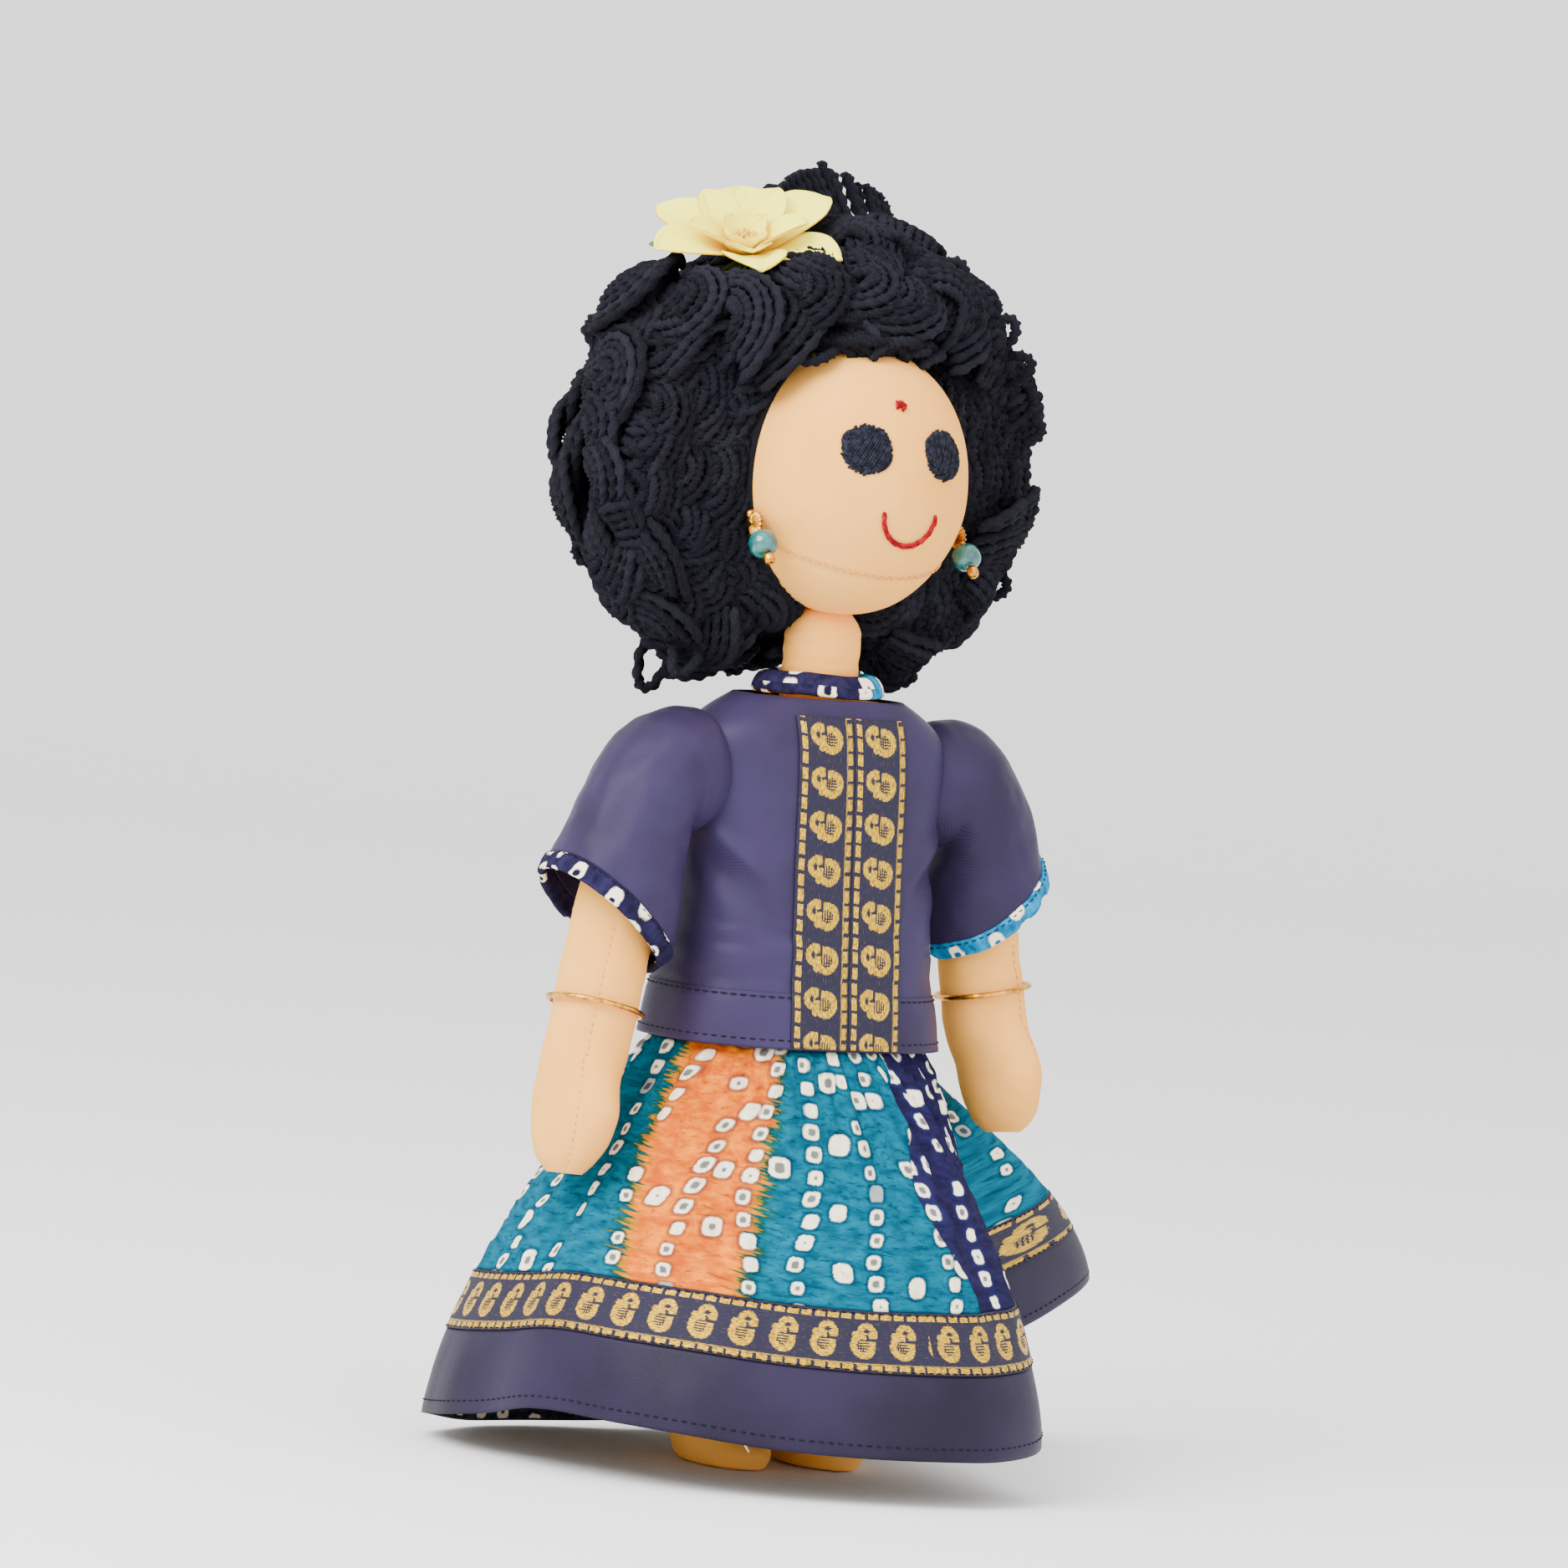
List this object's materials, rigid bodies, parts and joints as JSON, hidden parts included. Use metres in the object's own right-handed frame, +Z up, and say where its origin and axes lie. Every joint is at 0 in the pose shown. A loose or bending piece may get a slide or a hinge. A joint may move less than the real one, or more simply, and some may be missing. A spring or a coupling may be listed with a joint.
{
  "type": "stuffed cloth doll",
  "caption": "Standing stuffed cotton rag doll with looped yarn hair, silk flower, navy blouse, tie-dyed gathered skirt, bead earrings and bangles.",
  "frame": {"origin": "on the surface the doll stands on, under the middle of the doll's bounding box", "axes": "+Z up along the doll's height, -Y the way the doll's body faces, +X towards the doll's own left side"},
  "size_m": [0.2406, 0.1757, 0.3731],
  "materials": {
    "cotton_skin": "matte",
    "stuffing": "matte",
    "navy_satin": "satin",
    "gold_ribbon": "satin",
    "printed_binding": "matte",
    "tie_dyed_cotton": "matte",
    "printed_lining": "matte",
    "hook_tape": "matte",
    "elastic": "matte",
    "black_thread": "satin",
    "red_thread": "satin",
    "skin_thread": "matte",
    "wig_cloth": "matte",
    "black_yarn": "matte",
    "petal_silk": "satin",
    "stamen": "matte",
    "leaf_silk": "satin",
    "pin_steel": "polished",
    "gold_metal": "polished",
    "turquoise_bead": "gloss"
  },
  "bodies": {
    "torso": {"torso_skin": "cotton_skin", "torso_stuffing": "stuffing", "neck": "cotton_skin", "bodice": "navy_satin", "bodice_hem": "navy_satin", "placket": "gold_ribbon", "collar": "printed_binding", "back_tape": "hook_tape", "waistband": "elastic", "skirt_main": "tie_dyed_cotton", "skirt_side_panel": "tie_dyed_cotton", "gold_border": "gold_ribbon", "hem_band": "navy_satin", "hem_facing": "printed_lining"},
    "head": {"head_skin": "cotton_skin", "head_stuffing": "stuffing", "eye_left": "black_thread", "eye_right": "black_thread", "bindi": "red_thread", "smile": "red_thread", "chin_seam": "skin_thread", "wig_cap": "wig_cloth", "hair_crown": "black_yarn", "hair_left": "black_yarn", "hair_right": "black_yarn", "flower_petals": "petal_silk", "flower_centre": "stamen", "flower_leaves": "leaf_silk", "flower_pin": "pin_steel"},
    "earring_left": {"earring_thread_left": "gold_metal", "earring_disc_left": "gold_metal", "earring_bead_left": "turquoise_bead", "earring_tip_left": "gold_metal"},
    "arm_left": {"arm_skin_left": "cotton_skin", "arm_stuffing_left": "stuffing", "sleeve_left": "navy_satin", "cuff_left": "printed_binding"},
    "bangle_left": {"bangle_left": "gold_metal"},
    "leg_left": {"leg_skin_left": "cotton_skin", "leg_stuffing_left": "stuffing"},
    "earring_right": {"earring_thread_right": "gold_metal", "earring_disc_right": "gold_metal", "earring_bead_right": "turquoise_bead", "earring_tip_right": "gold_metal"},
    "arm_right": {"arm_skin_right": "cotton_skin", "arm_stuffing_right": "stuffing", "sleeve_right": "navy_satin", "cuff_right": "printed_binding"},
    "bangle_right": {"bangle_right": "gold_metal"},
    "leg_right": {"leg_skin_right": "cotton_skin", "leg_stuffing_right": "stuffing"}
  },
  "joints": [
    {"name": "neck_nod", "type": "hinge", "parent": "torso", "child": "head", "pos_m": [-0.02387, 0.013, 0.247], "axis": [1, 0, 0], "range_deg": [-8, 12], "stiffness_Nm_per_rad": 0.6},
    {"name": "shoulder_swing_left", "type": "hinge", "parent": "torso", "child": "arm_left", "pos_m": [0.02074, 0.013, 0.206], "axis": [-1, 0, 0], "range_deg": [-4, 80]},
    {"name": "shoulder_swing_right", "type": "hinge", "parent": "torso", "child": "arm_right", "pos_m": [-0.06846, 0.013, 0.206], "axis": [-1, 0, 0], "range_deg": [-10, 80]},
    {"name": "bangle_slide_left", "type": "slide", "parent": "arm_left", "child": "bangle_left", "axis": [0.1837, -0.0816, -0.9796], "range_m": [-0.008, 0.008]},
    {"name": "bangle_slide_right", "type": "slide", "parent": "arm_right", "child": "bangle_right", "axis": [-0.2142, -0.1104, -0.9705], "range_m": [-0.008, 0.008]},
    {"name": "hip_swing_left", "type": "hinge", "parent": "torso", "child": "leg_left", "pos_m": [-0.00736, 0.013, 0.084], "axis": [-1, 0, 0], "range_deg": [-12, 15], "stiffness_Nm_per_rad": 1.2},
    {"name": "hip_swing_right", "type": "hinge", "parent": "torso", "child": "leg_right", "pos_m": [-0.04036, 0.013, 0.084], "axis": [-1, 0, 0], "range_deg": [-12, 15], "stiffness_Nm_per_rad": 1.2},
    {"name": "earring_swing_left", "type": "hinge", "parent": "head", "child": "earring_left", "pos_m": [0.01234, 0.003, 0.284], "axis": [1, 0, 0], "range_deg": [-15, 30]},
    {"name": "earring_swing_right", "type": "hinge", "parent": "head", "child": "earring_right", "pos_m": [-0.06006, 0.003, 0.284], "axis": [1, 0, 0], "range_deg": [-15, 30]}
  ]
}
